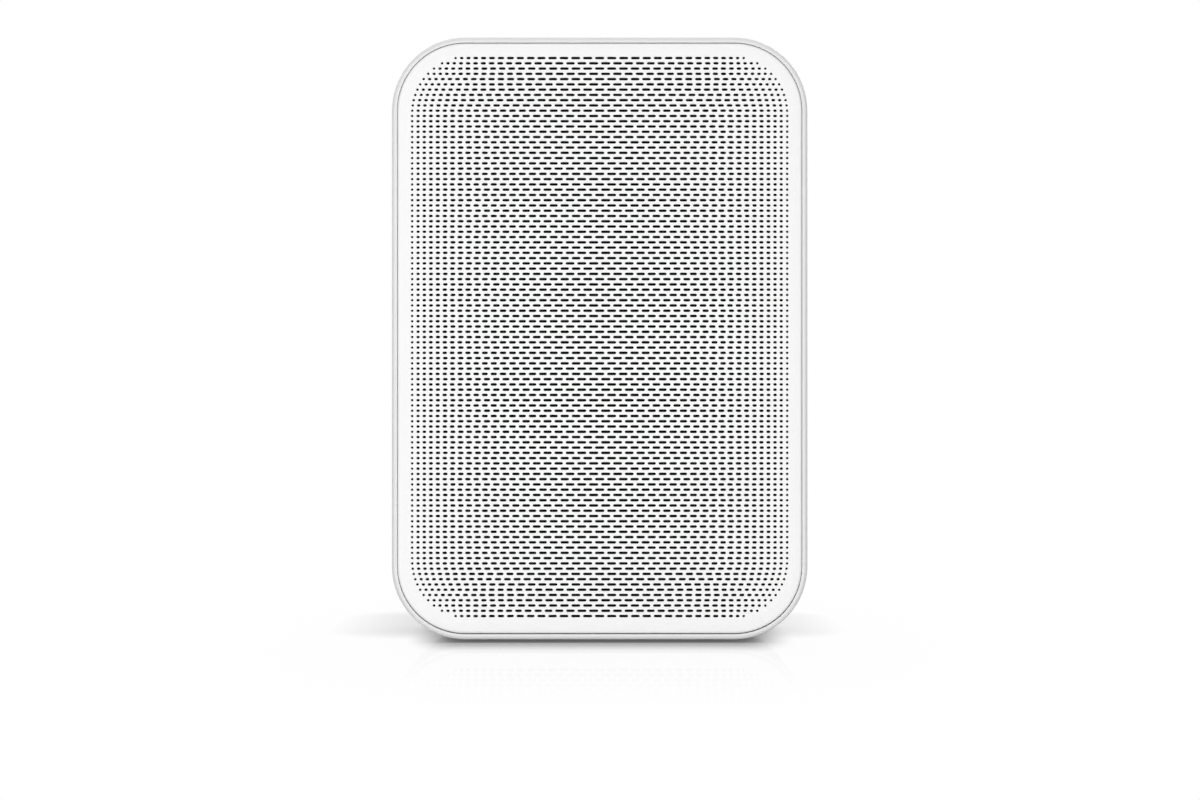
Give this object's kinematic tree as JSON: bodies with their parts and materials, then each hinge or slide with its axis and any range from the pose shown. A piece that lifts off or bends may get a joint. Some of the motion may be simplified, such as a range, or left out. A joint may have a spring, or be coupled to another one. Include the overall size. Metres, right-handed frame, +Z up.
{
  "type": "wireless streaming speaker",
  "caption": "Upright compact speaker box with rounded corners, a white slotted front grille, touch strip on top and a rear port and socket bay; plays streamed music.",
  "frame": {"origin": "on the floor under the middle of the speaker, at the underside of the feet", "axes": "+Z up, +X to the right as seen from the front, +Y to the rear, so the grille faces -Y"},
  "size_m": [0.125, 0.09, 0.182],
  "materials": {
    "white_shell": "satin white moulding with a fine grain",
    "grille_paint": "white powder coat",
    "black_cloth": "open acoustic weave",
    "black_plastic": "fine grain",
    "touch_gloss": "smooth gloss inlay",
    "clear_pipe": "clear moulding",
    "foot_rubber": "matt",
    "seal_foam": "closed-cell foam",
    "surround_rubber": "satin",
    "cone_polymer": "woven fibre texture",
    "dome_metal": "satin",
    "basket_paint": "black powder coat",
    "plated_steel": "zinc plated",
    "ferrite": "dark ceramic",
    "copper_coil": "lacquered copper wire",
    "damper_cloth": "resin-treated weave",
    "board_green": "solder mask",
    "can_metal": "drawn can",
    "insert_brass": "turned",
    "coil_black": "moulded core",
    "foam_grey": "open-cell foam"
  },
  "bodies": {
    "root": {"cabinet": "white_shell", "front_baffle": "black_plastic", "baffle_seal": "seal_foam", "front_grille": "grille_paint", "grille_cloth": "black_cloth", "cover_seal": "seal_foam", "rear_cover": "white_shell", "bass_port": "black_plastic", "wall_mount_insert": "insert_brass", "rubber_feet": "foot_rubber", "touch_panel": "touch_gloss", "touch_board": "board_green", "light_pipe": "clear_pipe", "mains_inlet": "black_plastic", "mains_pins": "insert_brass", "network_socket": "can_metal", "usb_socket": "can_metal", "audio_socket": "black_plastic", "baffle_screws": "plated_steel", "cover_screws": "plated_steel", "woofer_frame": "basket_paint", "woofer_gasket": "seal_foam", "woofer_surround": "surround_rubber", "woofer_spider": "damper_cloth", "woofer_yoke": "plated_steel", "woofer_top_plate": "plated_steel", "woofer_magnet": "ferrite", "woofer_screws": "plated_steel", "tweeter_faceplate": "black_plastic", "tweeter_surround": "surround_rubber", "tweeter_top_plate": "plated_steel", "tweeter_magnet": "ferrite", "tweeter_yoke": "plated_steel", "tweeter_screws": "plated_steel", "main_board": "board_green", "power_board": "board_green", "io_board": "board_green", "amp_heat_sink": "can_metal", "wireless_module": "can_metal", "power_transformer": "coil_black", "amp_inductors": "coil_black", "power_capacitors": "can_metal", "board_screws": "plated_steel", "damping_foam": "foam_grey", "antenna_strips": "copper_coil"},
    "woofer_diaphragm": {"woofer_cone": "cone_polymer", "woofer_dust_cap": "cone_polymer", "woofer_voice_coil": "copper_coil"},
    "tweeter_diaphragm": {"tweeter_dome": "dome_metal", "tweeter_voice_coil": "copper_coil"}
  },
  "joints": [
    {"name": "woofer_travel", "type": "slide", "parent": "root", "child": "woofer_diaphragm", "axis": [0, -1, 0], "range_m": [-0.003, 0.003], "stiffness_N_per_m": 600, "deforming": ["woofer_surround", "woofer_spider"]},
    {"name": "tweeter_travel", "type": "slide", "parent": "root", "child": "tweeter_diaphragm", "axis": [0, -1, 0], "range_m": [-0.0003, 0.0003], "stiffness_N_per_m": 40, "deforming": ["tweeter_surround"]}
  ]
}
